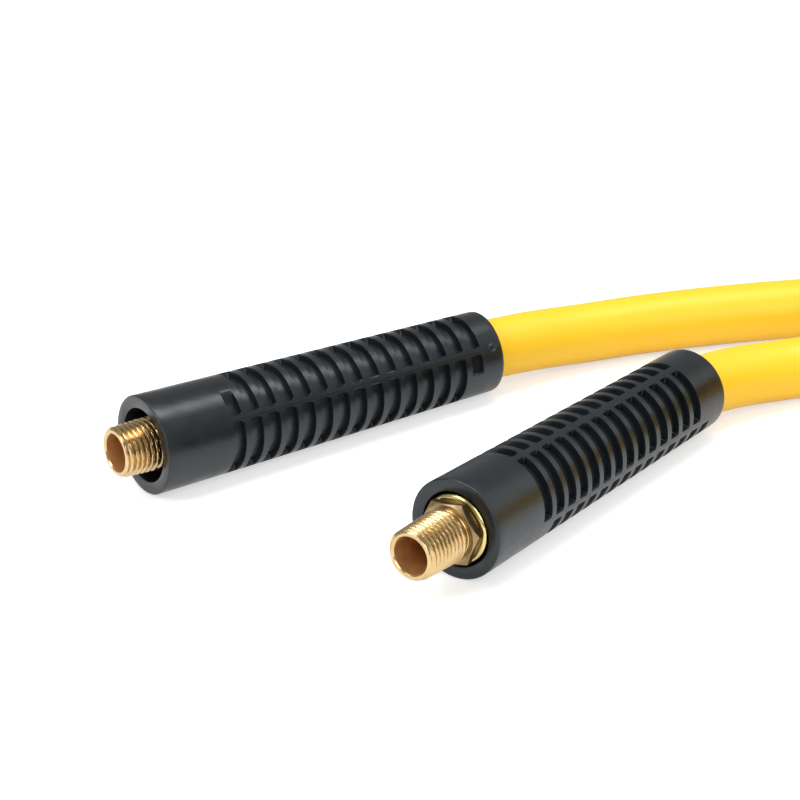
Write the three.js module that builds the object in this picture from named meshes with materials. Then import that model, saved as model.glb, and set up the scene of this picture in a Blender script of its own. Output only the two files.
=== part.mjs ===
// Air hose with a threaded male end and a sliding bend restrictor at each end,
// lying on a table with its spare length wound into a tied coil.
// Millimetres, +Z up, the table at z = 0. The origin is under the middle of the two ends.

import * as THREE from 'three';
import { mergeVertices } from 'three/addons/utils/BufferGeometryUtils.js';

// ---------------------------------------------------------------- hose
const hoseBore = 9.5;
const linerWall = 1.0;
const braidWall = 0.5;
const coverWall = 0.9;
const seatGap = 0.3; // between faces and walls that touch on the real hose
const linerRadius = hoseBore / 2 + linerWall;
const braidRadius = linerRadius + seatGap + braidWall;
const hoseRadius = braidRadius + seatGap + coverWall;
const hoseDiameter = 2 * hoseRadius;

// ---------------------------------------------------------------- male insert
const inch = 25.4;
const threadsPerInch = 18; // 1/4-18 taper pipe thread
const threadPitch = inch / threadsPerInch;
const threadCrestAtHex = 6.86;
const threadDepth = 0.9;
const threadTaper = 1 / 32; // radius lost per millimetre towards the nose
const threadLength = 14.0;
const noseBoreRadius = 4.75;
const noseWall = 1.05;
const noseBoreDepth = 15;
const neckLength = 0.8;
const hexAcrossFlats = 15;
const hexLength = 2.7;
const hexFaceInset = 0.2; // how far the hexagon's face circle is inside its flats
const hexChamferAngle = Math.PI / 6;
const shoulderRadius = 6;
const stemWall = 0.75; // under the barbs
const stemLength = 22;
const stemTip = 2; // plain length after the last barb
const barbCount = 3;
const barbDepth = 0.5;
const insertColumns = 24;

// ---------------------------------------------------------------- crimp ferrule
const ferruleLength = 24;
const ferruleWall = 0.8;
const ferruleRadius = hoseRadius + seatGap + ferruleWall;
const ferruleLipThickness = 1.2;
const ferruleEdge = 0.6;
const crimpCount = 3;
const crimpMargin = 0.3; // pitches left plain before the first groove and after the last
const crimpDepth = 0.3;
const crimpWidth = 3;
const ferruleColumns = 24;
const layerColumns = 18;

// ---------------------------------------------------------------- bend restrictor
const restrictorLength = 101.4;
const mouthClearance = 0.55; // round the ferrule and the hexagon
const mouthWall = 3.25;
const tailClearance = 1.0; // round the hose
const tailWall = 1.85;
const seatDepth = 34.2; // from the mouth to the shoulder that stops on the ferrule
const landClearance = 0.4; // round the hose, where the bore guides it
const landLength = 12;
const rimEdge = 0.7;
const pocketLength = 3.3;
const pocketDepth = 1.6;
const pocketDraft = 0.25;
const firstPocket = 20.8; // centre of the first ring of pockets, from the mouth
const lastPocket = 8.5; // centre of the last ring, from the tail
const pocketRings = 15;
const barWidth = 2;
const bars = 4;
const pocketSegments = 4;
const lateColumns = [true, false, false, true]; // columns that start and end one pocket later

const hexCornerRadius = hexAcrossFlats / Math.sqrt(3);
const mouthBoreRadius = Math.max(ferruleRadius, hexCornerRadius) + mouthClearance;
const mouthRadius = mouthBoreRadius + mouthWall;
const landRadius = hoseRadius + landClearance;
const tailBoreRadius = hoseRadius + tailClearance;
const tailRadius = tailBoreRadius + tailWall;
const pocketPitch = (restrictorLength - firstPocket - lastPocket) / (pocketRings - 1);

// ---------------------------------------------------------------- how the two ends lie
const mouthA = new THREE.Vector2(-66.65, 30.35);
const mouthB = new THREE.Vector2(-15.25, -48.25);
const headingAngleA = 12.6; // degrees from +X, from the mouth towards the hose
const headingAngleB = 32.6;
const rollAngleA = 63.1; // degrees, where the first bar stands round the axis
const rollAngleB = -73.2;
const ferruleShows = 0.1; // how far end B's ferrule stands out of its restrictor's mouth

// ---------------------------------------------------------------- coil
const coilCentre = new THREE.Vector2(264.0, -69.7);
const coilRadius = 98.2; // centreline of the outermost turn
const coilLayers = 4;
const coilTurns = 8 + 254 / 360;
const coilStartAngle = 184; // degrees, where end B's lead joins the bottom layer
const turnGap = 1.1;
const layerGap = 0.5;
const stepsPerTurn = 24;
const coilSides = 6;
const reversal = 0.25; // turns before and after a change of layer

// ---------------------------------------------------------------- coil ties
const tieWidth = 20;
const tieThickness = 1.2;
const tieGap = 0.35;
const tieCorner = 5;
const tieCornerSegments = 4;
const tieAngles = [30, 150, 270];
const tieMargin = 1; // past the tie's sides, where the turns are measured too

// ---------------------------------------------------------------- leads
const leadSides = 10;
const leadStep = hoseDiameter;
const leadStraight = 4; // square to the coil's end

// Hand-placed centreline of each lead from its restrictor's tail to the coil.
const routeA = [
  [32.3, 52.5, 10.5], [47.4, 55.5, 9.4], [62.6, 57.0, 8.1], [77.8, 56.4, 7.8],
  [93.0, 54.1, 7.8], [108.0, 50.9, 7.8], [122.6, 47.0, 7.8], [135.3, 43.2, 8.2],
  [148.0, 39.6, 10.2], [160.8, 37.1, 14.2], [174.0, 36.0, 20.2], [187.2, 36.1, 28.8],
  [200.2, 37.0, 39.2], [213.4, 37.5, 46.9], [226.6, 37.1, 52.2], [239.5, 35.7, 55.6],
  [252.4, 33.3, 57.1],
];
const routeB = [
  [60.0, -0.1, 10.8], [66.0, 3.6, 10.7], [73.6, 7.3, 10.1], [83.6, 10.5, 9.2],
  [99.2, 12.1, 7.9], [114.6, 9.9, 7.8], [129.1, 4.1, 7.8], [141.8, -4.8, 7.8],
  [152.2, -16.4, 7.8], [159.5, -30.1, 8.2], [163.6, -45.2, 8.9],
];

const degrees = THREE.MathUtils.degToRad;
const midRound = 1 - Math.SQRT1_2; // from a quarter round's middle to each of its faces, in radii
const materials = {
  brass: new THREE.MeshStandardMaterial({ color: 0xc79a4e, roughness: 0.32, metalness: 1 }),
  ferrule: new THREE.MeshStandardMaterial({ color: 0xb9a253, roughness: 0.22, metalness: 1 }),
  restrictor: new THREE.MeshStandardMaterial({ color: 0x24272a, roughness: 0.5, metalness: 0 }),
  cover: new THREE.MeshStandardMaterial({ color: 0xf6c622, roughness: 0.42, metalness: 0 }),
  liner: new THREE.MeshStandardMaterial({ color: 0x1d1d1f, roughness: 0.6, metalness: 0 }),
  braid: new THREE.MeshStandardMaterial({ color: 0xd9d6cc, roughness: 0.8, metalness: 0 }),
  tie: new THREE.MeshStandardMaterial({ color: 0x17181a, roughness: 0.9, metalness: 0 }),
};

// A closed, outward-facing geometry from points and triangles; triangles without area are left out.
function closedGeometry(points, triangles) {
  let volume = 0;
  for (const [a, b, c] of triangles) {
    volume += points[a].dot(new THREE.Vector3().crossVectors(points[b], points[c]));
  }
  const geometry = new THREE.BufferGeometry();
  const coordinates = points.flatMap((point) => point.toArray());
  geometry.setAttribute('position', new THREE.Float32BufferAttribute(coordinates, 3));
  geometry.setIndex(triangles.flatMap(([a, b, c]) => (volume > 0 ? [a, b, c] : [a, c, b])));
  const merged = mergeVertices(geometry, 1e-4);
  const index = merged.index.array;
  const kept = [];
  for (let i = 0; i < index.length; i += 3) {
    const [a, b, c] = [index[i], index[i + 1], index[i + 2]];
    if (a !== b && b !== c && c !== a) kept.push(a, b, c);
  }
  merged.setIndex(kept);
  merged.computeVertexNormals();
  return merged;
}

// A body about the X axis with a hole through it. Each ring is [x, radius], or gives it for an
// angle and its column, and the last ring joins the first. The first angle is repeated at the end.
function ringBody(rings, angles) {
  const points = [];
  for (const ring of rings) {
    angles.forEach((angle, column) => {
      const [x, radius] = typeof ring === 'function' ? ring(angle, column) : ring;
      points.push(new THREE.Vector3(x, radius * Math.cos(angle), radius * Math.sin(angle)));
    });
  }
  const width = angles.length;
  const triangles = [];
  for (let i = 0; i < rings.length; i += 1) {
    const next = (i + 1) % rings.length;
    for (let j = 0; j < width - 1; j += 1) {
      const [a, b, c, d] = [i * width + j, i * width + j + 1, next * width + j + 1, next * width + j];
      triangles.push([a, b, c], [a, c, d]);
    }
  }
  return closedGeometry(points, triangles);
}

function evenAngles(count) {
  return Array.from({ length: count + 1 }, (_, i) => (i === count ? 0 : (i / count) * 2 * Math.PI));
}

// ---------------------------------------------------------------- the pieces of one end
// x runs from the nose towards the hose, with the ferrule's front at x = 0.

const hexBack = -seatGap;
const hexFront = hexBack - hexLength;
const threadEnd = hexFront - neckLength;
const noseFace = threadEnd - threadLength;
const noseFaceRadius = noseBoreRadius + noseWall;
const stemRadius = hoseBore / 2 - seatGap;
const stemBoreRadius = stemRadius - barbDepth - stemWall;

function threadRadius(x, turn) {
  const phase = THREE.MathUtils.euclideanModulo((x - threadEnd) / threadPitch - turn, 1);
  const crest = threadCrestAtHex - (threadEnd - x) * threadTaper;
  const ridge = crest - threadDepth * Math.abs(2 * phase - 1);
  return Math.min(ridge, noseFaceRadius + (x - noseFace));
}

// Rows of crests and roots that wind round as one helix, held between the nose and the neck.
function threadRows() {
  const rows = [];
  const halfPitches = Math.ceil((2 * threadLength) / threadPitch);
  const spareRows = 3; // so that the helix starts before the nose at every angle
  for (let row = -halfPitches - spareRows; row <= 1; row += 1) {
    rows.push((angle, column) => {
      const turn = column / insertColumns;
      const along = threadEnd + (row / 2 + turn) * threadPitch;
      const x = THREE.MathUtils.clamp(along, noseFace, threadEnd);
      return [x, threadRadius(x, turn)];
    });
  }
  return rows;
}

function hexRadius(angle) {
  const side = Math.PI / 3;
  const offset = THREE.MathUtils.euclideanModulo(angle, side) - side / 2;
  return hexAcrossFlats / 2 / Math.cos(offset);
}

// Thread, hexagon, the neck through the ferrule's lip and the barbed stem inside the hose.
function maleInsert() {
  const hexFaceRadius = hexAcrossFlats / 2 - hexFaceInset;
  const rootRadius = stemRadius - barbDepth;
  const threadNeck = threadCrestAtHex - threadDepth;
  const chamfer = (angle) => (hexRadius(angle) - hexFaceRadius) * Math.tan(hexChamferAngle);
  const barbPitch = (stemLength - ferruleLipThickness - stemTip) / barbCount;
  const stem = [];
  for (let i = 0; i < barbCount; i += 1) {
    const start = ferruleLipThickness + i * barbPitch;
    stem.push([start, i === 0 ? shoulderRadius : rootRadius], [start, stemRadius]);
  }
  return ringBody([
    [noseFace + noseBoreDepth, stemBoreRadius], [noseFace + noseBoreDepth, noseBoreRadius],
    [noseFace, noseBoreRadius],
    ...threadRows(),
    [threadEnd, threadNeck], [hexFront, threadNeck], [hexFront, hexFaceRadius],
    (angle) => [hexFront + chamfer(angle), hexRadius(angle)],
    (angle) => [hexBack - chamfer(angle), hexRadius(angle)],
    [hexBack, hexFaceRadius], [hexBack, shoulderRadius],
    ...stem,
    [stemLength - stemTip, rootRadius], [stemLength, rootRadius], [stemLength, stemBoreRadius],
  ], evenAngles(insertColumns));
}

// A shell that wraps the hose, with a lip at the front and crimp grooves round the outside.
function crimpFerrule() {
  const lipBore = shoulderRadius + seatGap;
  const bore = hoseRadius + seatGap;
  const crimpPitch = ferruleLength / (crimpCount + 2 * crimpMargin);
  const grooves = [];
  for (let i = 0; i < crimpCount; i += 1) {
    const middle = crimpPitch * (i + 0.5 + crimpMargin);
    const half = crimpWidth / 2;
    grooves.push(
      [middle - half, ferruleRadius], [middle - half + crimpDepth, ferruleRadius - crimpDepth],
      [middle + half - crimpDepth, ferruleRadius - crimpDepth], [middle + half, ferruleRadius],
    );
  }
  return ringBody([
    [0, lipBore], [0, ferruleRadius - ferruleEdge],
    [ferruleEdge * midRound, ferruleRadius - ferruleEdge * midRound], [ferruleEdge, ferruleRadius],
    ...grooves,
    [ferruleLength, ferruleRadius], [ferruleLength, bore],
    [ferruleLipThickness, bore], [ferruleLipThickness, lipBore],
  ], evenAngles(ferruleColumns));
}

// One layer of the hose where the ferrule holds it.
function hoseLayer(innerRadius, outerRadius) {
  const front = ferruleLipThickness + seatGap;
  return ringBody([
    [front, innerRadius], [front, outerRadius],
    [ferruleLength, outerRadius], [ferruleLength, innerRadius],
  ], evenAngles(layerColumns));
}

// ---------------------------------------------------------------- bend restrictor
// x runs from the mouth to the tail.

function restrictorRadius(x) {
  return THREE.MathUtils.lerp(mouthRadius, tailRadius, x / restrictorLength);
}

// Columns round the restrictor: the two edges of a bar, then the pocket floor up to the next bar.
function restrictorColumns(roll) {
  const halfBar = Math.asin(barWidth / 2 / mouthRadius);
  const draft = pocketDraft / mouthRadius;
  const columns = [];
  for (let bar = 0; bar < bars; bar += 1) {
    const start = degrees(roll) + (bar / bars) * 2 * Math.PI;
    const end = start + (2 * Math.PI) / bars;
    columns.push({ angle: start - halfBar, floor: false, late: false });
    columns.push({ angle: start + halfBar, floor: false, late: false });
    const [from, to] = [start + halfBar + draft, end - halfBar - draft];
    for (let i = 0; i <= pocketSegments; i += 1) {
      const angle = THREE.MathUtils.lerp(from, to, i / pocketSegments);
      columns.push({ angle, floor: true, late: lateColumns[bar] });
    }
  }
  return [...columns, columns[0]];
}

function bendRestrictor(roll) {
  const columns = restrictorColumns(roll);
  const pockets = [];
  for (let i = 0; i < pocketRings; i += 1) {
    const middle = firstPocket + i * pocketPitch;
    const hasPocket = ({ floor, late }) => floor && (late ? i > 0 : i < pocketRings - 1);
    const wall = (x) => [x, restrictorRadius(x)];
    const floor = (x) => (angle, column) => {
      return [x, restrictorRadius(x) - (hasPocket(columns[column]) ? pocketDepth : 0)];
    };
    const half = pocketLength / 2;
    pockets.push(
      wall(middle - half), floor(middle - half + pocketDraft),
      floor(middle + half - pocketDraft), wall(middle + half),
    );
  }
  const boreEdge = rimEdge / 2;
  const midEdge = rimEdge * midRound;
  const tailEdge = restrictorLength - rimEdge;
  return ringBody([
    [boreEdge, mouthBoreRadius], [0, mouthBoreRadius + boreEdge],
    [0, mouthRadius - rimEdge], [midEdge, mouthRadius - midEdge], [rimEdge, restrictorRadius(rimEdge)],
    ...pockets,
    [tailEdge, restrictorRadius(tailEdge)], [restrictorLength - midEdge, tailRadius - midEdge],
    [restrictorLength, tailRadius - rimEdge], [restrictorLength, tailBoreRadius],
    [seatDepth + landLength, landRadius], [seatDepth, landRadius], [seatDepth, mouthBoreRadius],
  ], columns.map((column) => column.angle));
}

// ---------------------------------------------------------------- coil

const turnPitch = hoseDiameter + turnGap;
const layerPitch = hoseDiameter + layerGap;
const coilBase = tieThickness + seatGap + hoseRadius;

// Turns counted inwards from the outside of the layer, eased where the spiral turns back but not
// at the coil's own two ends.
function turnsInward(t) {
  const perLayer = coilTurns / coilLayers;
  const along = THREE.MathUtils.euclideanModulo(t, 2 * perLayer);
  const toOutside = Math.min(along, 2 * perLayer - along);
  const toInside = perLayer - toOutside;
  const nearEnd = Math.min(t, coilTurns - t) < reversal;
  if (toOutside < reversal && !nearEnd) return reversal / 2 + toOutside ** 2 / (2 * reversal);
  if (toInside < reversal) return perLayer - reversal / 2 - toInside ** 2 / (2 * reversal);
  return toOutside;
}

function coilPoint(t) {
  const perLayer = coilTurns / coilLayers;
  let height = 0;
  for (let layer = 1; layer < coilLayers; layer += 1) {
    const boundary = layer * perLayer;
    height += THREE.MathUtils.smoothstep(t, boundary - reversal, boundary + reversal);
  }
  const radius = coilRadius - turnPitch * turnsInward(t);
  const angle = degrees(coilStartAngle) + t * 2 * Math.PI;
  return new THREE.Vector3(
    coilCentre.x + radius * Math.cos(angle),
    coilCentre.y + radius * Math.sin(angle),
    coilBase + layerPitch * height,
  );
}

// The centreline from end B's lead to end A's, straight for one diameter at each end.
function coilCentreline() {
  const steps = Math.round(coilTurns * stepsPerTurn);
  const points = [];
  for (let i = 0; i <= steps; i += 1) points.push(coilPoint((i / steps) * coilTurns));
  const along = (angle) => new THREE.Vector3(-Math.sin(angle), Math.cos(angle), 0);
  const startAngle = degrees(coilStartAngle);
  const endAngle = startAngle + coilTurns * 2 * Math.PI;
  points.unshift(points[0].clone().addScaledVector(along(startAngle), -hoseDiameter));
  points.push(points[points.length - 1].clone().addScaledVector(along(endAngle), hoseDiameter));
  return points;
}

// One unbroken tube with flat sides along the points, a corner straight below the centreline.
function sidedTube(points, sides) {
  const vertices = [];
  const triangles = [];
  points.forEach((point, i) => {
    const before = points[Math.max(i - 1, 0)];
    const after = points[Math.min(i + 1, points.length - 1)];
    const forward = after.clone().sub(before).normalize();
    const side = new THREE.Vector3(0, 0, 1).cross(forward).normalize();
    const up = forward.clone().cross(side);
    for (let j = 0; j < sides; j += 1) {
      const angle = (j / sides) * 2 * Math.PI;
      vertices.push(point.clone()
        .addScaledVector(up, -hoseRadius * Math.cos(angle))
        .addScaledVector(side, hoseRadius * Math.sin(angle)));
      if (i === 0) continue;
      const [a, b] = [(i - 1) * sides + j, (i - 1) * sides + ((j + 1) % sides)];
      triangles.push([a, b, b + sides], [a, b + sides, a + sides]);
    }
  });
  const last = (points.length - 1) * sides;
  for (let j = 1; j < sides - 1; j += 1) {
    triangles.push([0, j + 1, j], [last, last + j, last + j + 1]);
  }
  return closedGeometry(vertices, triangles);
}

// A flat band round all the turns at one angle of the coil.
function coilTie(angle, centreline) {
  const outward = new THREE.Vector2(Math.cos(angle), Math.sin(angle));
  let inner = Infinity;
  let outer = 0;
  for (const point of subdivided(centreline, 2)) {
    const offset = new THREE.Vector2(point.x, point.y).sub(coilCentre);
    const out = offset.dot(outward);
    if (out < 0 || Math.abs(offset.cross(outward)) > tieWidth / 2 + tieMargin) continue;
    inner = Math.min(inner, out - hoseRadius - tieGap);
    outer = Math.max(outer, out + hoseRadius + tieGap);
  }
  const top = coilBase + (coilLayers - 1) * layerPitch + hoseRadius + tieGap;
  const [left, right, over] = [inner - tieThickness, outer + tieThickness, top + tieThickness];
  const shape = roundedRectangle(left, 0, right, over, tieCorner + tieThickness);
  shape.holes.push(roundedRectangle(inner, tieThickness, outer, top, tieCorner));
  const options = { depth: tieWidth, bevelEnabled: false, curveSegments: tieCornerSegments };
  const band = new THREE.ExtrudeGeometry(shape, options);
  return band.translate(0, 0, -tieWidth / 2).rotateX(Math.PI / 2);
}

function roundedRectangle(left, bottom, right, top, radius) {
  const shape = new THREE.Shape();
  shape.absarc(right - radius, bottom + radius, radius, -Math.PI / 2, 0);
  shape.absarc(right - radius, top - radius, radius, 0, Math.PI / 2);
  shape.absarc(left + radius, top - radius, radius, Math.PI / 2, Math.PI);
  shape.absarc(left + radius, bottom + radius, radius, Math.PI, 1.5 * Math.PI);
  shape.closePath();
  return shape;
}

// ---------------------------------------------------------------- leads

// From the ferrule's back, straight through the restrictor, then along the route to the coil.
function leadCentreline(end, route, coilEnd, coilNext) {
  const points = [];
  const tail = new THREE.Vector3(...route[0]);
  const back = end.userData.ferruleFront + ferruleLength + seatGap;
  const start = end.localToWorld(new THREE.Vector3(back, 0, 0));
  for (const share of [0, 0.2, 0.4, 0.6, 0.8]) points.push(start.clone().lerp(tail, share));
  points.push(...route.map((point) => new THREE.Vector3(...point)));
  const away = coilEnd.clone().sub(coilNext).normalize();
  points.push(coilEnd.clone().addScaledVector(away, leadStraight));
  points.push(coilEnd.clone().addScaledVector(away, seatGap));
  return new THREE.CatmullRomCurve3(points, false, 'centripetal');
}

function leadTube(curve) {
  const section = new THREE.Shape();
  section.absarc(0, 0, hoseRadius, 0, 2 * Math.PI);
  return new THREE.ExtrudeGeometry(section, {
    steps: Math.round(curve.getLength() / leadStep),
    extrudePath: curve,
    bevelEnabled: false,
    curveSegments: leadSides,
  });
}

// ---------------------------------------------------------------- measures

function subdivided(points, spacing) {
  const result = [];
  for (let i = 1; i < points.length; i += 1) {
    const count = Math.ceil(points[i].distanceTo(points[i - 1]) / spacing);
    for (let j = 0; j < count; j += 1) result.push(points[i - 1].clone().lerp(points[i], j / count));
  }
  return [...result, points[points.length - 1]];
}

function lengthOf(points) {
  return points.slice(1).reduce((sum, point, i) => sum + point.distanceTo(points[i]), 0);
}

// Least distance between surfaces of one tube, between points over four diameters apart along it.
function selfGap(points, spacing) {
  const fine = subdivided(points, spacing);
  const along = [0];
  for (let i = 1; i < fine.length; i += 1) along.push(along[i - 1] + fine[i].distanceTo(fine[i - 1]));
  let least = Infinity;
  for (let i = 0; i < fine.length; i += 1) {
    for (let j = i + 1; j < fine.length; j += 1) {
      if (along[j] - along[i] > 4 * hoseDiameter) least = Math.min(least, fine[i].distanceTo(fine[j]));
    }
  }
  return least - hoseDiameter;
}

// Tightest bend radius along a curve.
function tightestBend(curve) {
  const points = curve.getSpacedPoints(Math.round(curve.getLength() / 6));
  let least = Infinity;
  for (let i = 1; i < points.length - 1; i += 1) {
    const [a, b, c] = [points[i - 1], points[i], points[i + 1]];
    const [ab, bc, ca] = [a.distanceTo(b), b.distanceTo(c), c.distanceTo(a)];
    const area = b.clone().sub(a).cross(c.clone().sub(a)).length() / 2;
    if (area > 1e-6) least = Math.min(least, (ab * bc * ca) / (4 * area));
  }
  return least;
}

// ---------------------------------------------------------------- assembly

const hose = new THREE.Group();

function mesh(name, geometry, material) {
  const piece = new THREE.Mesh(geometry, material.clone());
  piece.name = name;
  return piece;
}

function hoseEnd(letter, mouth, heading, roll, ferruleFront) {
  const tilt = Math.atan((mouthRadius - tailRadius) / restrictorLength);
  const end = new THREE.Group();
  end.rotation.set(0, tilt, degrees(heading), 'ZYX');
  end.position.set(mouth.x, mouth.y, mouthRadius * Math.cos(tilt));
  end.userData.ferruleFront = ferruleFront;

  const fitting = new THREE.Group();
  fitting.position.x = ferruleFront;
  fitting.add(mesh(`male_insert_${letter}`, maleInsert(), materials.brass));
  fitting.add(mesh(`crimp_ferrule_${letter}`, crimpFerrule(), materials.ferrule));
  const liner = hoseLayer(hoseBore / 2, linerRadius);
  const braid = hoseLayer(linerRadius + seatGap, braidRadius);
  const cover = hoseLayer(braidRadius + seatGap, hoseRadius);
  fitting.add(mesh(`hose_liner_${letter}`, liner, materials.liner));
  fitting.add(mesh(`hose_braid_${letter}`, braid, materials.braid));
  fitting.add(mesh(`hose_cover_${letter}`, cover, materials.cover));
  end.add(fitting);
  end.add(mesh(`bend_restrictor_${letter}`, bendRestrictor(roll), materials.restrictor));
  end.updateMatrixWorld(true);
  return end;
}

// Restrictor A rests against its ferrule's back; restrictor B is pushed back along the hose.
const seatedFront = seatDepth - seatGap - ferruleLength;
const endA = hoseEnd('a', mouthA, headingAngleA, rollAngleA, seatedFront);
const endB = hoseEnd('b', mouthB, headingAngleB, rollAngleB, -ferruleShows);
hose.add(endA, endB);

const coil = coilCentreline();
const leadA = leadCentreline(endA, routeA, coil[coil.length - 1], coil[coil.length - 2]);
const leadB = leadCentreline(endB, routeB, coil[0], coil[1]);
hose.add(mesh('hose_lead_a', leadTube(leadA), materials.cover));
hose.add(mesh('hose_lead_b', leadTube(leadB), materials.cover));
hose.add(mesh('hose_coil', sidedTube(coil, coilSides), materials.cover));
tieAngles.forEach((angle, i) => {
  const tie = mesh(`coil_tie_${i + 1}`, coilTie(degrees(angle), coil), materials.tie);
  tie.position.set(coilCentre.x, coilCentre.y, 0);
  tie.rotation.z = degrees(angle);
  hose.add(tie);
});

const freeLength = leadA.getLength() + lengthOf(coil) + leadB.getLength() + 2 * seatGap;
const leadSteps = 60;
const wholeLine = [
  ...leadB.getSpacedPoints(leadSteps), ...coil, ...leadA.getSpacedPoints(leadSteps).reverse(),
];
console.log(`hose length ${((freeLength + 2 * ferruleLength) / 1000).toFixed(3)} m`);
console.log(`free hose ${(freeLength / 1000).toFixed(3)} m, coil ${(lengthOf(coil) / 1000).toFixed(3)} m`);
console.log(`hose_coil least gap to itself ${selfGap(coil, 3).toFixed(2)} mm`);
console.log(`whole hose least gap to itself ${selfGap(wholeLine, 3).toFixed(2)} mm`);
console.log(`tightest bend ${Math.min(tightestBend(leadA), tightestBend(leadB)).toFixed(1)} mm`);

export default hose;
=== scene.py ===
"""Looks of the air hose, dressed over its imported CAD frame. Metres, +Z up, the table at z = 0."""

import math

import bpy
from mathutils import Matrix, Vector


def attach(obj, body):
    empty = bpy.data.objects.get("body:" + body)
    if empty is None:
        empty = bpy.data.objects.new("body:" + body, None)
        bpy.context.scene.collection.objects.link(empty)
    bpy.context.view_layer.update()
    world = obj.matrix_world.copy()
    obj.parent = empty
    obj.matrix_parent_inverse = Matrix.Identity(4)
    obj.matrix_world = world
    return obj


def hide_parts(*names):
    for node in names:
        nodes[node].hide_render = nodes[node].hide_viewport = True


MM = 0.001
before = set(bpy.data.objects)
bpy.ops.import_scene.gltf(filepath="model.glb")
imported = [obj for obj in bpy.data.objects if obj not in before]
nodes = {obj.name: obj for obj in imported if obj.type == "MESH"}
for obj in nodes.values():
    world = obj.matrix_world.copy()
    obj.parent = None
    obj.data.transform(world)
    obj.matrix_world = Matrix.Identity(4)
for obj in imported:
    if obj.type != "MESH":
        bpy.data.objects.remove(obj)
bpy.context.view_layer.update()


# ---------------------------------------------------------------- sizes, in millimetres

HOSE_DIAMETER = 15.5
HOSE_RADIUS = HOSE_DIAMETER / 2
SEAT_GAP = 0.3

THREAD_PITCH = 25.4 / 18
THREAD_CREST = 6.86
THREAD_DEPTH = 0.9
THREAD_TAPER = 1 / 32
THREAD_LENGTH = 14.0
LEAD_IN_SLOPE = 0.9
# Flats at the thread's crests and roots, as shares of half its pitch.
CREST_FLAT = 0.16
ROOT_FLAT = 0.112
NOSE_RADIUS = 5.8
NOSE_BORE = 4.75
NOSE_BORE_DEPTH = 15.0
NOSE_CHAMFER = 0.3
NOSE_CHAMFER_WIDTH = 0.25
NOSE_EDGE = 0.12
NECK_LENGTH = 0.8
NECK_FILLET = 0.15
HEX_FLATS = 15.0
HEX_LENGTH = 2.7
HEX_CHAMFER = 0.2
SHOULDER_RADIUS = 6.0
STEM_BORE = 3.2
BORE_STEP_LENGTH = 0.8
STEM_RADIUS = 4.45
STEM_LENGTH = 22.0
STEM_CHAMFER = 0.5

FERRULE_LENGTH = 24.0
FERRULE_RADIUS = 8.85
FERRULE_LIP = 1.2
FERRULE_EDGE = 1.0
FERRULE_CHAMFER = 0.2
CRIMP_COUNT = 3
CRIMP_PITCH = FERRULE_LENGTH / 3.6
FIRST_CRIMP = 0.8 * CRIMP_PITCH
CRIMP_HALF_WIDTH = 1.6
CRIMP_DEPTH = 0.3
CRIMP_RUN_IN = 0.6
CRIMP_STEPS = 8

RESTRICTOR_LENGTH = 101.4
MOUTH_RADIUS = 12.65
TAIL_RADIUS = 10.6
MOUTH_BORE = 9.4
SEAT_DEPTH = 34.2
LAND_RADIUS = 8.15
LAND_LENGTH = 12.0
TAIL_BORE = 8.75
MOUTH_EDGE = 0.4
TAIL_EDGE = 0.9
POCKET_LENGTH = 3.3
POCKET_DEPTH = 1.6
FIRST_POCKET = 20.8
LAST_POCKET = 8.5
POCKET_RINGS = 15
POCKET_PITCH = (RESTRICTOR_LENGTH - FIRST_POCKET - LAST_POCKET) / (POCKET_RINGS - 1)
BAR_WIDTH = 2.0
LATE_COLUMNS = (True, False, False, True)
RESTRICTOR_TRAVEL = 10.0

COIL_CENTRE = Vector((264.0, -69.7, 0))
COIL_RADIUS = 98.2
COIL_LAYERS = 4
COIL_TURNS = 8 + 254 / 360
COIL_START = math.radians(184)
TURN_PITCH = HOSE_DIAMETER + 1.1
LAYER_PITCH = HOSE_DIAMETER + 0.5
REVERSAL = 0.25
TIE_WIDTH = 20.0
TIE_THICKNESS = 1.2
TIE_GAP = 0.35
TIE_CORNER = 5.0
TIE_EDGE = 0.25
TIE_ANGLES = (30, 150, 270)
COIL_BASE = TIE_THICKNESS + SEAT_GAP + HOSE_RADIUS
LEAD_STRAIGHT = 4.0

ROUTE_A = [
    (32.3, 52.5, 10.5), (47.4, 55.5, 9.4), (62.6, 57.0, 8.1), (77.8, 56.4, 7.8),
    (93.0, 54.1, 7.8), (108.0, 50.9, 7.8), (122.6, 47.0, 7.8), (135.3, 43.2, 8.2),
    (148.0, 39.6, 10.2), (160.8, 37.1, 14.2), (174.0, 36.0, 20.2), (187.2, 36.1, 28.8),
    (200.2, 37.0, 39.2), (213.4, 37.5, 46.9), (226.6, 37.1, 52.2), (239.5, 35.7, 55.6),
    (252.4, 33.3, 57.1),
]
ROUTE_B = [
    (60.0, -0.1, 10.8), (66.0, 3.6, 10.7), (73.6, 7.3, 10.1), (83.6, 10.5, 9.2),
    (99.2, 12.1, 7.9), (114.6, 9.9, 7.8), (129.1, 4.1, 7.8), (141.8, -4.8, 7.8),
    (152.2, -16.4, 7.8), (159.5, -30.1, 8.2), (163.6, -45.2, 8.9),
]

TILT = math.atan((MOUTH_RADIUS - TAIL_RADIUS) / RESTRICTOR_LENGTH)
SEATED_FRONT = SEAT_DEPTH - SEAT_GAP - FERRULE_LENGTH


def end_matrix(mouth, heading):
    """Places an end whose x runs from the restrictor's mouth to its tail."""
    place = Matrix.Translation(Vector((*mouth, MOUTH_RADIUS * math.cos(TILT))) * MM)
    return place @ Matrix.Rotation(math.radians(heading), 4, "Z") @ Matrix.Rotation(TILT, 4, "Y")


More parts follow.
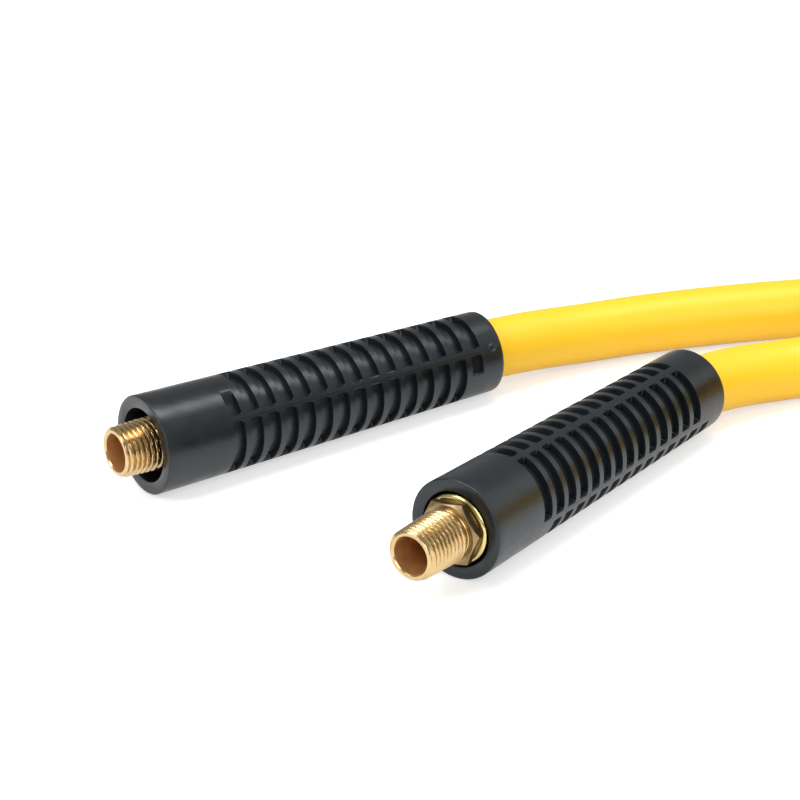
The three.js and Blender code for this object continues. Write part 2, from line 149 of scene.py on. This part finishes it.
# Each end's place, its first bar's and its hexagon's turn in degrees, and its ferrule's front in mm.
ENDS = {
    "a": {
        "matrix": end_matrix((-66.65, 30.35), 12.6),
        "roll": 63.1,
        "front": SEATED_FRONT,
        "hex": 20,
    },
    "b": {
        "matrix": end_matrix((-15.25, -48.25), 32.6),
        "roll": -73.2,
        "front": SEATED_FRONT - RESTRICTOR_TRAVEL,
        "hex": -5,
    },
}


# ---------------------------------------------------------------- camera

CAMERA_PLACE = Vector((-0.32025, -0.85265, 0.4219))
CAMERA_HEADING = math.radians(70)
CAMERA_DOWN = math.radians(23.593)
CAMERA_ROLL = math.radians(-2.622)
CAMERA_LENS = 183.56


def make_camera():
    camera = bpy.data.cameras.new("camera")
    camera.lens = CAMERA_LENS
    camera.sensor_width = 36
    camera.clip_start = 0.01
    camera.clip_end = 50
    holder = bpy.data.objects.new("camera", camera)
    bpy.context.scene.collection.objects.link(holder)
    turn = (
        Matrix.Rotation(CAMERA_HEADING - math.pi / 2, 4, "Z")
        @ Matrix.Rotation(math.pi / 2 - CAMERA_DOWN, 4, "X")
        @ Matrix.Rotation(CAMERA_ROLL, 4, "Z")
    )
    holder.matrix_world = Matrix.Translation(CAMERA_PLACE) @ turn
    bpy.context.scene.camera = holder


# ---------------------------------------------------------------- meshes

def mesh_object(name, vertices, faces):
    mesh = bpy.data.meshes.new(name)
    mesh.from_pydata([tuple(v) for v in vertices], [], faces)
    mesh.validate()
    mesh.update()
    piece = bpy.data.objects.new(name, mesh)
    bpy.context.scene.collection.objects.link(piece)
    mesh.shade_smooth()
    return piece


def ring_faces(rows, columns, closed_rows=False):
    """Quads between rings of points, each ring closed on itself."""
    faces = []
    for i in range(rows if closed_rows else rows - 1):
        above = i * columns
        below = (i + 1) % rows * columns
        for j in range(columns):
            right = (j + 1) % columns
            faces.append((above + j, above + right, below + right, below + j))
    return faces


def turned_piece(name, rings, angles, smooth_angle):
    """A hollow body about X from rings of (x, radius), or functions that give them for an angle."""
    vertices = []
    for ring in rings:
        for angle in angles:
            x, radius = ring(angle) if callable(ring) else ring
            vertices.append(Vector((x, radius * math.cos(angle), radius * math.sin(angle))) * MM)
    piece = mesh_object(name, vertices, ring_faces(len(rings), len(angles), closed_rows=True))
    sharpen(piece, smooth_angle)
    return piece


def sharpen(piece, angle):
    """Smooth shading that stops at edges sharper than the angle."""
    bpy.context.view_layer.objects.active = piece
    piece.select_set(True)
    bpy.ops.object.shade_smooth_by_angle(angle=math.radians(angle))
    piece.select_set(False)
    bpy.ops.object.select_all(action="DESELECT")
    for modifier in list(piece.modifiers):
        bpy.ops.object.modifier_apply(modifier=modifier.name)


def even_angles(count):
    return [2 * math.pi * i / count for i in range(count)]


def smoothstep(value, low, high):
    share = min(1.0, max(0.0, (value - low) / (high - low)))
    return share * share * (3 - 2 * share)


def mix(low, high, share):
    return low + (high - low) * share


# ---------------------------------------------------------------- hose

HOSE_SIDES = 32
STEPS_PER_TURN = 72
LEAD_STEP = 3.0


def turns_inward(t):
    """Turns counted inwards from the outside of the layer, eased where the spiral turns back."""
    per_layer = COIL_TURNS / COIL_LAYERS
    along = t % (2 * per_layer)
    to_outside = min(along, 2 * per_layer - along)
    to_inside = per_layer - to_outside
    near_end = min(t, COIL_TURNS - t) < REVERSAL
    if to_outside < REVERSAL and not near_end:
        return REVERSAL / 2 + to_outside**2 / (2 * REVERSAL)
    if to_inside < REVERSAL:
        return per_layer - REVERSAL / 2 - to_inside**2 / (2 * REVERSAL)
    return to_outside


def coil_point(t):
    per_layer = COIL_TURNS / COIL_LAYERS
    height = sum(
        smoothstep(t, layer * per_layer - REVERSAL, layer * per_layer + REVERSAL)
        for layer in range(1, COIL_LAYERS)
    )
    radius = COIL_RADIUS - TURN_PITCH * turns_inward(t)
    angle = COIL_START + t * 2 * math.pi
    flat = Vector((radius * math.cos(angle), radius * math.sin(angle), 0))
    return COIL_CENTRE + flat + Vector((0, 0, COIL_BASE + LAYER_PITCH * height))


def coil_line():
    """The coil's centreline from end B's lead to end A's, one diameter straight at each end."""
    steps = round(COIL_TURNS * STEPS_PER_TURN)
    points = [coil_point(i / steps * COIL_TURNS) for i in range(steps + 1)]
    end_angle = COIL_START + COIL_TURNS * 2 * math.pi
    start_way = Vector((math.sin(COIL_START), -math.cos(COIL_START), 0))
    end_way = Vector((-math.sin(end_angle), math.cos(end_angle), 0))
    return [points[0] + start_way * HOSE_DIAMETER, *points, points[-1] + end_way * HOSE_DIAMETER]


def lead_points(end, route, coil_end, coil_next):
    """From the ferrule's back, straight through the restrictor, then along the route to the coil."""
    tail = Vector(route[0])
    back = Vector((end["front"] + FERRULE_LENGTH + SEAT_GAP, 0, 0)) * MM
    start = (end["matrix"] @ back) / MM
    points = [start.lerp(tail, share) for share in (0, 0.2, 0.4, 0.6, 0.8)]
    points += [Vector(point) for point in route]
    away = (coil_end - coil_next).normalized()
    return points + [coil_end + away * LEAD_STRAIGHT, coil_end + away * SEAT_GAP]


def smooth_line(points, spacing):
    """A centripetal Catmull-Rom line through the points."""
    line = []
    ends = [points[0] * 2 - points[1], *points, points[-1] * 2 - points[-2]]
    for i in range(1, len(ends) - 2):
        p0, p1, p2, p3 = ends[i - 1:i + 3]
        t1 = (p1 - p0).length ** 0.5
        t2 = t1 + (p2 - p1).length ** 0.5
        t3 = t2 + (p3 - p2).length ** 0.5
        count = max(1, round((p2 - p1).length / spacing))
        for j in range(count):
            t = mix(t1, t2, j / count)
            a1 = p0.lerp(p1, t / t1)
            a2 = p1.lerp(p2, (t - t1) / (t2 - t1))
            a3 = p2.lerp(p3, (t - t2) / (t3 - t2))
            b1 = a1.lerp(a2, t / t2)
            b2 = a2.lerp(a3, (t - t1) / (t3 - t1))
            line.append(b1.lerp(b2, (t - t1) / (t2 - t1)))
    return [*line, points[-1]]


def tube(name, line, radius, sides):
    vertices = []
    for i, point in enumerate(line):
        forward = (line[min(i + 1, len(line) - 1)] - line[max(i - 1, 0)]).normalized()
        side = Vector((0, 0, 1)).cross(forward).normalized() * radius
        up = forward.cross(side)
        for angle in even_angles(sides):
            vertices.append((point + side * math.cos(angle) + up * math.sin(angle)) * MM)
    faces = ring_faces(len(line), sides)
    last = (len(line) - 1) * sides
    faces.append(tuple(range(sides)))
    faces.append(tuple(range(last + sides - 1, last - 1, -1)))
    return mesh_object(name, vertices, faces)


def make_hose():
    coil = coil_line()
    lead_a = smooth_line(lead_points(ENDS["a"], ROUTE_A, coil[-1], coil[-2]), LEAD_STEP)
    lead_b = smooth_line(lead_points(ENDS["b"], ROUTE_B, coil[0], coil[1]), LEAD_STEP)
    line = [*lead_a, *reversed(coil), *reversed(lead_b)]
    hose = tube("air_hose", line, HOSE_RADIUS, HOSE_SIDES)
    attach(hose, "hose")
    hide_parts("hose_lead_a", "hose_coil", "hose_lead_b")
    length = sum((b - a).length for a, b in zip(line, line[1:])) * MM
    return hose, [point * MM for point in line], length


make_camera()
hose, hose_line, hose_length = make_hose()


# ---------------------------------------------------------------- stage

FLOOR_SIZE = 12
FLOOR_DROP = 0.0002


def make_stage():
    bpy.ops.mesh.primitive_plane_add(size=FLOOR_SIZE, location=(0, 0, -FLOOR_DROP))
    floor = bpy.context.object
    floor.name = "floor"
    return floor


floor = make_stage()


# ---------------------------------------------------------------- pieces of the two ends

POCKET_CORNER = 0.45
POCKET_WALL = 0.2
POCKET_LIP = 0.06
RESTRICTOR_COLUMNS = 288
RESTRICTOR_SMOOTH = 40
# Rows across one pitch, close together at the pocket's two walls.
WALL_OFFSETS = (-1.0, -0.4, -0.22, -0.12, -0.02, 0.06, 0.15, 0.45, 0.75)
HALF_ROWS = [POCKET_LENGTH / 2 + offset for offset in WALL_OFFSETS]
PITCH_ROWS = [*[-row for row in reversed(HALF_ROWS)], 0, *HALF_ROWS]
# The first column has a short pocket in the ring before its first whole one, up to the second bar.
SHORT_POCKET = (0, 0)
SHORT_POCKET_REACH = 7.2
SHORT_POCKET_RUN_OUT = 4.0
# The second column has a short recess, from the second bar, in the ring after its last whole pocket.
TAIL_RECESS = (1, POCKET_RINGS - 1)
TAIL_RECESS_REACH = 5.2
TAIL_RECESS_DEPTH = 0.9
# A parting line runs along the second and fourth bars, and the gate's ring is in line with the second.
SEAM_HEIGHT = 0.06
SEAM_START = 17
SEAM_HALF_WIDTH = 0.2
GATE_FROM_TAIL = 3.3
GATE_RADIUS = 0.8
GATE_HALF_WIDTH = 0.3
GATE_HEIGHT = 0.3
GATE_ROW_STEP = 0.15
# Rounded inner rims: how deep and wide they are, with one point between.
MOUTH_RIM = 0.5
TAIL_RIM = 0.4
RIM_WIDTH = 0.4
RIM_MIDDLE = (0.15, 0.1)
MOUTH_ROWS = (3, 8, 13, 17)
TAIL_ROW = 1.2


def restrictor_radius(x):
    return mix(MOUTH_RADIUS, TAIL_RADIUS, x / RESTRICTOR_LENGTH)


def pocket_depth(x, angle):
    """Depth of the moulded pockets at a place on the outside; the angle is from the first bar."""
    column = int(angle // (math.pi / 2)) % 4
    ring = round((x - FIRST_POCKET) / POCKET_PITCH)
    first = 1 if LATE_COLUMNS[column] else 0
    radius = restrictor_radius(x)
    half_across = math.pi / 4 * radius - BAR_WIDTH / 2
    across = (angle % (math.pi / 2) - math.pi / 4) * radius
    low, high, depth = -half_across, half_across, POCKET_DEPTH
    if (column, ring) == SHORT_POCKET:
        low = high - SHORT_POCKET_REACH
        depth *= smoothstep(across, low, low + SHORT_POCKET_RUN_OUT)
    elif (column, ring) == TAIL_RECESS:
        high = low + TAIL_RECESS_REACH
        depth = TAIL_RECESS_DEPTH
    elif not first <= ring <= first + POCKET_RINGS - 2:
        return 0
    dx = abs(x - FIRST_POCKET - ring * POCKET_PITCH) - POCKET_LENGTH / 2 + POCKET_CORNER
    dy = abs(across - (low + high) / 2) - (high - low) / 2 + POCKET_CORNER
    inside = POCKET_CORNER - math.hypot(max(dx, 0), max(dy, 0)) - min(max(dx, dy), 0)
    return depth * smoothstep(inside, -POCKET_LIP, POCKET_WALL)


def mould_mark(x, angle):
    """Height of the parting line and of the gate's ring; the angle is from the first bar."""
    radius = restrictor_radius(x)
    from_seam = abs(angle % math.pi - math.pi / 2) * radius
    seam = SEAM_HEIGHT * max(0, 1 - from_seam / SEAM_HALF_WIDTH) if x > SEAM_START else 0
    from_gate = math.hypot(x - RESTRICTOR_LENGTH + GATE_FROM_TAIL, (angle - math.pi / 2) * radius)
    inside = GATE_HALF_WIDTH - abs(from_gate - GATE_RADIUS)
    return max(seam, GATE_HEIGHT * smoothstep(inside, 0, GATE_HALF_WIDTH))


def rounded_rim(x, radius, edge, way, steps=4):
    """Rows round an outer rim; way is 1 from an end face onto the side, and -1 the other way."""
    rows = []
    for i in range(steps + 1):
        turn = math.pi / 2 * i / steps
        along = edge * (1 - math.sin(turn))
        rows.append((x + way * along, radius - edge * (1 - math.cos(turn))))
    return rows[::-way]


def make_restrictor(letter):
    end = ENDS[letter]
    roll = math.radians(end["roll"])

    def outside(x):
        def ring(angle):
            from_bar = (angle - roll) % (2 * math.pi)
            return x, restrictor_radius(x) - pocket_depth(x, from_bar) + mould_mark(x, from_bar)
        return ring

    last = RESTRICTOR_LENGTH
    rows = list(MOUTH_ROWS)
    for ring in range(POCKET_RINGS):
        rows += [FIRST_POCKET + ring * POCKET_PITCH + offset for offset in PITCH_ROWS]
    gate_rows = round(2 * (GATE_RADIUS + GATE_HALF_WIDTH) / GATE_ROW_STEP)
    rows += [last - GATE_FROM_TAIL + (i - gate_rows / 2) * GATE_ROW_STEP for i in range(gate_rows + 1)]
    rows.append(last - TAIL_ROW)
    piece = turned_piece(
        f"restrictor_{letter}",
        [
            (last - TAIL_RIM, TAIL_BORE), (SEAT_DEPTH + LAND_LENGTH, LAND_RADIUS),
            (SEAT_DEPTH, LAND_RADIUS), (SEAT_DEPTH, MOUTH_BORE), (MOUTH_RIM, MOUTH_BORE),
            (RIM_MIDDLE[0], MOUTH_BORE + RIM_MIDDLE[1]), (0, MOUTH_BORE + RIM_WIDTH),
            *rounded_rim(0, MOUTH_RADIUS, MOUTH_EDGE, 1),
            *[outside(x) for x in rows],
            *rounded_rim(last, TAIL_RADIUS, TAIL_EDGE, -1),
            (last, TAIL_BORE + RIM_WIDTH), (last - RIM_MIDDLE[0], TAIL_BORE + RIM_MIDDLE[1]),
        ],
        [roll + angle for angle in even_angles(RESTRICTOR_COLUMNS)],
        RESTRICTOR_SMOOTH,
    )
    piece.matrix_world = end["matrix"]
    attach(piece, f"restrictor_{letter}")
    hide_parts(f"bend_restrictor_{letter}")
    return piece


HEX_BACK = -SEAT_GAP
HEX_FRONT = HEX_BACK - HEX_LENGTH
THREAD_END = HEX_FRONT - NECK_LENGTH
NOSE_FACE = THREAD_END - THREAD_LENGTH
INSERT_COLUMNS = 144
INSERT_SMOOTH = 28
THREAD_ROWS = 150


def thread_radius(x, angle):
    phase = ((x - THREAD_END) / THREAD_PITCH - angle / (2 * math.pi)) % 1
    crest = THREAD_CREST - (THREAD_END - x) * THREAD_TAPER
    from_crest = abs(2 * phase - 1)
    flank = min(1, max(0, (from_crest - CREST_FLAT) / (1 - CREST_FLAT - ROOT_FLAT)))
    ridge = crest - THREAD_DEPTH * flank
    lead_in = NOSE_RADIUS + (x - NOSE_FACE) * LEAD_IN_SLOPE
    run_out = THREAD_CREST - THREAD_DEPTH * smoothstep(x, THREAD_END - THREAD_PITCH, THREAD_END)
    return min(ridge, lead_in, run_out)


def thread_row(x):
    return lambda angle: (x, thread_radius(x, angle))


def hex_radius(angle):
    side = math.pi / 3
    return HEX_FLATS / 2 / math.cos(angle % side - side / 2)


def make_insert(letter):
    end = ENDS[letter]
    turn = math.radians(end["hex"])
    hex_face = HEX_FLATS / 2 - HEX_CHAMFER

    def chamfer(angle):
        return (hex_radius(angle - turn) - hex_face) * math.tan(math.pi / 6)

    def hex_front(angle):
        return HEX_FRONT + chamfer(angle), hex_radius(angle - turn)

    def hex_back(angle):
        return HEX_BACK - chamfer(angle), hex_radius(angle - turn)

    thread = [thread_row(mix(NOSE_FACE, THREAD_END, i / THREAD_ROWS)) for i in range(THREAD_ROWS + 1)]
    neck = THREAD_CREST - THREAD_DEPTH
    bore_end = NOSE_FACE + NOSE_BORE_DEPTH
    piece = turned_piece(
        f"insert_{letter}",
        [
            (bore_end, STEM_BORE), (bore_end - BORE_STEP_LENGTH, NOSE_BORE),
            (NOSE_FACE + NOSE_CHAMFER, NOSE_BORE), (NOSE_FACE, NOSE_BORE + NOSE_CHAMFER_WIDTH),
            (NOSE_FACE, NOSE_RADIUS - NOSE_EDGE),
            *thread,
            (HEX_FRONT - NECK_FILLET, neck), (HEX_FRONT, neck + NECK_FILLET), (HEX_FRONT, hex_face),
            hex_front, hex_back, (HEX_BACK, hex_face),
            (HEX_BACK, SHOULDER_RADIUS), (FERRULE_LIP, SHOULDER_RADIUS),
            (FERRULE_LIP, STEM_RADIUS), (STEM_LENGTH, STEM_RADIUS - STEM_CHAMFER),
            (STEM_LENGTH, STEM_BORE),
        ],
        even_angles(INSERT_COLUMNS),
        INSERT_SMOOTH,
    )
    piece.matrix_world = end["matrix"] @ Matrix.Translation((end["front"] * MM, 0, 0))
    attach(piece, "hose")
    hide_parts(f"male_insert_{letter}")
    return piece


FERRULE_COLUMNS = 96
FERRULE_SMOOTH = 35


def make_ferrule(letter):
    end = ENDS[letter]
    lip_bore = SHOULDER_RADIUS + SEAT_GAP
    bore = HOSE_RADIUS + SEAT_GAP
    grooves = []
    for i in range(CRIMP_COUNT):
        middle = FIRST_CRIMP + i * CRIMP_PITCH
        for step in range(-CRIMP_STEPS, CRIMP_STEPS + 1):
            share = step / CRIMP_STEPS
            depth = CRIMP_DEPTH * smoothstep(1 - abs(share), 0, CRIMP_RUN_IN)
            grooves.append((middle + share * CRIMP_HALF_WIDTH, FERRULE_RADIUS - depth))
    piece = turned_piece(
        f"ferrule_{letter}",
        [
            (FERRULE_CHAMFER, lip_bore), (0, lip_bore + FERRULE_CHAMFER),
            *rounded_rim(0, FERRULE_RADIUS, FERRULE_EDGE, 1, 6),
            *grooves,
            (FERRULE_LENGTH - FERRULE_CHAMFER, FERRULE_RADIUS),
            (FERRULE_LENGTH, FERRULE_RADIUS - FERRULE_CHAMFER),
            (FERRULE_LENGTH, bore), (FERRULE_LIP, bore), (FERRULE_LIP, lip_bore),
        ],
        even_angles(FERRULE_COLUMNS),
        FERRULE_SMOOTH,
    )
    piece.matrix_world = end["matrix"] @ Matrix.Translation((end["front"] * MM, 0, 0))
    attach(piece, "hose")
    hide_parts(f"crimp_ferrule_{letter}")
    return piece


restrictors = [make_restrictor(letter) for letter in ENDS]
inserts = [make_insert(letter) for letter in ENDS]
ferrules = [make_ferrule(letter) for letter in ENDS]


# ---------------------------------------------------------------- coil ties

SPAN_MARGIN = 1.0
CORNER_STEPS = 8
TIE_SMOOTH = 40


def tie_span(angle):
    """How far from the coil's centre the turns reach under a tie, inwards and outwards."""
    outward = Vector((math.cos(angle), math.sin(angle), 0))
    reach = []
    for point in coil_line():
        offset = point - COIL_CENTRE
        offset.z = 0
        if offset.dot(outward) > 0 and abs(offset.cross(outward).z) < TIE_WIDTH / 2 + SPAN_MARGIN:
            reach.append(offset.dot(outward))
    return min(reach) - HOSE_RADIUS - TIE_GAP, max(reach) + HOSE_RADIUS + TIE_GAP


def band_path(left, right, bottom, top, radius):
    """A rounded rectangle's outline as (out, up, normal) points, from the middle of its top round."""
    corners = [
        (right - radius, top - radius, 90), (right - radius, bottom + radius, 0),
        (left + radius, bottom + radius, -90), (left + radius, top - radius, -180),
    ]
    path = [((left + right) / 2, top, 90)]
    for out, up, start in corners:
        for i in range(CORNER_STEPS + 1):
            normal = start - i * 90 / CORNER_STEPS
            turn = math.radians(normal)
            path.append((out + radius * math.cos(turn), up + radius * math.sin(turn), normal))
    return path


def make_tie(index, angle):
    inner, outer = tie_span(angle)
    top = COIL_BASE + (COIL_LAYERS - 1) * LAYER_PITCH + HOSE_RADIUS + TIE_GAP
    path = band_path(inner, outer, TIE_THICKNESS, top, TIE_CORNER)
    half = TIE_WIDTH / 2
    inset = half - TIE_EDGE
    thick = TIE_THICKNESS
    low, high = TIE_EDGE, TIE_THICKNESS - TIE_EDGE
    section = [
        (-half, low), (-inset, 0), (inset, 0), (half, low),
        (half, high), (inset, thick), (-inset, thick), (-half, high),
    ]
    rows = []
    for out, up, normal in path:
        turn = math.radians(normal)
        rows.append([(out + d * math.cos(turn), up + d * math.sin(turn), w) for w, d in section])
    vertices = [Vector((out, -w, up)) * MM for row in rows for out, up, w in row]
    piece = mesh_object(f"tie_{index}", vertices, ring_faces(len(rows), len(section), closed_rows=True))
    sharpen(piece, TIE_SMOOTH)
    piece.matrix_world = Matrix.Translation(COIL_CENTRE * MM) @ Matrix.Rotation(angle, 4, "Z")
    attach(piece, "hose")
    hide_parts(f"coil_tie_{index}")
    return piece


ties = [make_tie(i + 1, math.radians(angle)) for i, angle in enumerate(TIE_ANGLES)]


# ---------------------------------------------------------------- materials

RAMP_START = 0.3
RAMP_END = 0.7
# How far a face may be from a recess's floor, a bore's wall or a hexagon's ends to be painted with it.
RECESS_MARGIN = 0.25
BORE_MARGIN = 0.1
HEXAGON_MARGIN = 0.01


class Shader:
    """A Principled material whose colour, roughness and bump come from object-space patterns."""

    def __init__(self, name, roughness, metallic=0.0):
        self.material = bpy.data.materials.new(name)
        self.material.use_nodes = True
        self.tree = self.material.node_tree
        self.surface = self.tree.nodes["Principled BSDF"]
        self.surface.inputs["Roughness"].default_value = roughness
        self.surface.inputs["Metallic"].default_value = metallic
        self.place = self.tree.nodes.new("ShaderNodeTexCoord").outputs["Object"]
        self.normal = None

    def stretched(self, scale):
        mapping = self.tree.nodes.new("ShaderNodeMapping")
        mapping.inputs["Scale"].default_value = scale
        self.tree.links.new(self.place, mapping.inputs["Vector"])
        return mapping.outputs["Vector"]

    def noise(self, scale, detail=3.0, stretch=(1, 1, 1)):
        """Noise with about scale lumps a metre."""
        node = self.tree.nodes.new("ShaderNodeTexNoise")
        node.inputs["Scale"].default_value = scale
        node.inputs["Detail"].default_value = detail
        self.tree.links.new(self.stretched(stretch), node.inputs["Vector"])
        return node.outputs["Fac"]

    def ramp(self, value, stops):
        node = self.tree.nodes.new("ShaderNodeValToRGB")
        self.tree.links.new(value, node.inputs["Fac"])
        elements = node.color_ramp.elements
        while len(elements) < len(stops):
            elements.new(0.5)
        for element, (position, colour) in zip(elements, stops):
            element.position = position
            element.color = (*colour, 1)
        return node.outputs["Color"]

    def set(self, socket, output):
        self.tree.links.new(output, self.surface.inputs[socket])

    def mottle(self, scale, low, high):
        """A base colour that drifts between two shades."""
        self.set("Base Color", self.ramp(self.noise(scale), [(RAMP_START, low), (RAMP_END, high)]))

    def bump(self, height, distance):
        node = self.tree.nodes.new("ShaderNodeBump")
        node.inputs["Distance"].default_value = distance
        self.tree.links.new(height, node.inputs["Height"])
        if self.normal:
            self.tree.links.new(self.normal, node.inputs["Normal"])
        self.normal = node.outputs["Normal"]
        self.tree.links.new(self.normal, self.surface.inputs["Normal"])

    def grey(self, value, low, high):
        return self.ramp(value, [(RAMP_START, (low,) * 3), (RAMP_END, (high,) * 3)])


def cover_material():
    shader = Shader("hose cover", 0.45)
    shader.mottle(35, (0.985, 0.58, 0.013), (1.0, 0.61, 0.018))
    shader.set("Roughness", shader.grey(shader.noise(220), 0.42, 0.5))
    shader.bump(shader.noise(900, 2), 0.00004)
    return shader.material


def restrictor_material():
    shader = Shader("moulded restrictor", 0.3)
    shader.surface.inputs["Specular Tint"].default_value = (0.88, 0.96, 1.0, 1)
    shader.mottle(60, (0.0045, 0.0060, 0.0076), (0.0070, 0.0092, 0.0113))
    shader.set("Roughness", shader.grey(shader.noise(240), 0.28, 0.38))
    shader.bump(shader.noise(2200, 2), 0.00001)
    shader.bump(shader.noise(160, 3), 0.00006)
    return shader.material


# Painted shade: the tail recess's floor gets a darker, matte, low-sheen colour so that it reads as
# filled with shade.
def recess_shade_material():
    shader = Shader("recess with painted shade", 0.8)
    shader.surface.inputs["Specular IOR Level"].default_value = 0.2
    shader.mottle(400, (0.0035, 0.0045, 0.0055), (0.006, 0.0075, 0.009))
    shader.set("Roughness", shader.grey(shader.noise(400), 0.75, 0.9))
    shader.bump(shader.noise(1500, 2), 0.00005)
    return shader.material


def brass_material():
    shader = Shader("machined brass", 0.24, 1.0)
    shader.mottle(260, (0.50, 0.355, 0.17), (0.63, 0.46, 0.24))
    shader.set("Roughness", shader.grey(shader.noise(700, 4, (6, 1, 1)), 0.16, 0.3))
    shader.bump(shader.noise(900, 3, (7, 1, 1)), 0.00002)
    return shader.material


# Painted reflection: the bore's brass is more orange and partly diffuse, standing in for the light that
# the bore reflects within itself.
def bore_painted_reflection_material():
    shader = Shader("brass bore with painted reflection", 0.4, 0.6)
    shader.mottle(400, (0.56, 0.28, 0.09), (0.70, 0.39, 0.15))
    shader.set("Roughness", shader.grey(shader.noise(700, 4, (6, 1, 1)), 0.32, 0.46))
    shader.bump(shader.noise(900, 3, (7, 1, 1)), 0.00002)
    return shader.material


# Painted dark reflection: the hexagon's brass is a darker brown, standing in for the dark surroundings
# that its flats reflect.
def hexagon_dark_reflection_material():
    shader = Shader("brass hexagon with painted dark reflection", 0.36, 1.0)
    shader.mottle(500, (0.27, 0.185, 0.09), (0.38, 0.27, 0.14))
    shader.set("Roughness", shader.grey(shader.noise(700, 4, (1, 6, 6)), 0.28, 0.42))
    shader.bump(shader.noise(900, 3, (1, 7, 7)), 0.00003)
    return shader.material


def ferrule_material():
    shader = Shader("polished ferrule", 0.16, 1.0)
    shader.mottle(180, (0.58, 0.48, 0.20), (0.68, 0.57, 0.26))
    shader.set("Roughness", shader.grey(shader.noise(500, 4, (6, 1, 1)), 0.12, 0.22))
    shader.bump(shader.noise(700, 3, (7, 1, 1)), 0.00001)
    return shader.material


def tie_material():
    shader = Shader("woven tie", 0.85)
    shader.mottle(500, (0.010, 0.010, 0.012), (0.024, 0.024, 0.027))
    shader.set("Roughness", shader.grey(shader.noise(400), 0.8, 0.92))
    shader.bump(shader.noise(1500, 2), 0.0003)
    return shader.material


def layer_material(name, low, high):
    shader = Shader(name, 0.7)
    shader.mottle(400, low, high)
    shader.set("Roughness", shader.grey(shader.noise(500), 0.6, 0.8))
    shader.bump(shader.noise(900, 2), 0.0001)
    return shader.material


def paint(pieces, material):
    for piece in pieces:
        piece.data.materials.clear()
        piece.data.materials.append(material)


def in_tail_recess(x, reach):
    from_ring = abs(x - FIRST_POCKET - TAIL_RECESS[1] * POCKET_PITCH)
    from_floor = abs(restrictor_radius(x) - TAIL_RECESS_DEPTH - reach)
    return from_ring < POCKET_LENGTH / 2 and from_floor < RECESS_MARGIN


def in_bore(x, reach):
    return reach < NOSE_BORE + BORE_MARGIN and x < NOSE_FACE + NOSE_BORE_DEPTH


def on_hexagon(x, reach):
    return HEX_FRONT - HEXAGON_MARGIN < x < HEX_BACK + HEXAGON_MARGIN


def paint_faces(pieces, material, chosen):
    """Gives a turned piece's chosen faces a further material; chosen takes their x and radius."""
    for piece in pieces:
        piece.data.materials.append(material)
        last_slot = len(piece.data.materials) - 1
        vertices = piece.data.vertices
        for face in piece.data.polygons:
            reach = max(vertices[i].co.yz.length for i in face.vertices)
            if chosen(face.center.x / MM, reach / MM):
                face.material_index = last_slot


cover = cover_material()
paint([hose], cover)
paint(restrictors, restrictor_material())
# The tail recess's floor is painted darker, as shade.
paint_faces(restrictors, recess_shade_material(), in_tail_recess)
paint(inserts, brass_material())
# The bore is painted with its reflected light.
paint_faces(inserts, bore_painted_reflection_material(), in_bore)
# The hexagon is painted darker, as a dark reflection.
paint_faces(inserts, hexagon_dark_reflection_material(), on_hexagon)
paint(ferrules, ferrule_material())
paint(ties, tie_material())
liner = layer_material("hose liner", (0.010, 0.010, 0.011), (0.018, 0.018, 0.019))
braid = layer_material("hose braid", (0.55, 0.53, 0.48), (0.72, 0.70, 0.65))
for letter in ENDS:
    for layer, material in (("cover", cover), ("liner", liner), ("braid", braid)):
        nodes[f"hose_{layer}_{letter}"].material_slots[0].material = material


# ---------------------------------------------------------------- stage and light

FLOOR_GREY = 0.72
FLOOR_LIFT = 0.55
WORLD_LIGHT = 0.4
LIGHT_AIM = Vector((0.02, 0, 0))


def floor_material():
    """Diffuse, so it keeps shadows, and lifted to white for the camera and in reflections."""
    material = bpy.data.materials.new("floor")
    material.use_nodes = True
    tree = material.node_tree
    tree.nodes.clear()
    new = tree.nodes.new
    link = tree.links.new
    rays = new("ShaderNodeLightPath").outputs
    seen = rays["Is Camera Ray"]
    for kind in ("Is Glossy Ray", "Is Transmission Ray"):
        total = new("ShaderNodeMath")
        link(seen, total.inputs[0])
        link(rays[kind], total.inputs[1])
        seen = total.outputs[0]
    strength = new("ShaderNodeMath")
    strength.operation = "MULTIPLY"
    strength.inputs[1].default_value = FLOOR_LIFT
    link(seen, strength.inputs[0])
    lift = new("ShaderNodeEmission")
    link(strength.outputs[0], lift.inputs["Strength"])
    diffuse = new("ShaderNodeBsdfDiffuse")
    diffuse.inputs["Color"].default_value = (FLOOR_GREY, FLOOR_GREY, FLOOR_GREY, 1)
    both = new("ShaderNodeAddShader")
    link(diffuse.outputs[0], both.inputs[0])
    link(lift.outputs[0], both.inputs[1])
    link(both.outputs[0], new("ShaderNodeOutputMaterial").inputs["Surface"])
    return material


def make_world():
    world = bpy.data.worlds.new("studio")
    bpy.context.scene.world = world
    world.use_nodes = True
    background = world.node_tree.nodes["Background"]
    background.inputs["Color"].default_value = (1, 1, 1, 1)
    background.inputs["Strength"].default_value = WORLD_LIGHT


def soft_box(name, place, size, power):
    light = bpy.data.lights.new(name, "AREA")
    light.size = size
    light.energy = power
    holder = bpy.data.objects.new(name, light)
    bpy.context.scene.collection.objects.link(holder)
    place = Vector(place)
    aim = (LIGHT_AIM - place).to_track_quat("-Z", "Y")
    holder.matrix_world = Matrix.Translation(place) @ aim.to_matrix().to_4x4()


paint([floor], floor_material())
make_world()
soft_box("sheen", (0.5, 0.05, 1.25), 0.45, 5)
soft_box("top", (-0.2, 0.2, 1.3), 0.9, 8)
soft_box("left", (-1.0, -0.1, 0.8), 0.5, 6)
soft_box("right", (1.3, -0.2, 0.7), 1.0, 3)
soft_box("front", (-0.1, -1.2, 0.8), 0.9, 7)
bpy.context.scene.view_settings.view_transform = "Standard"
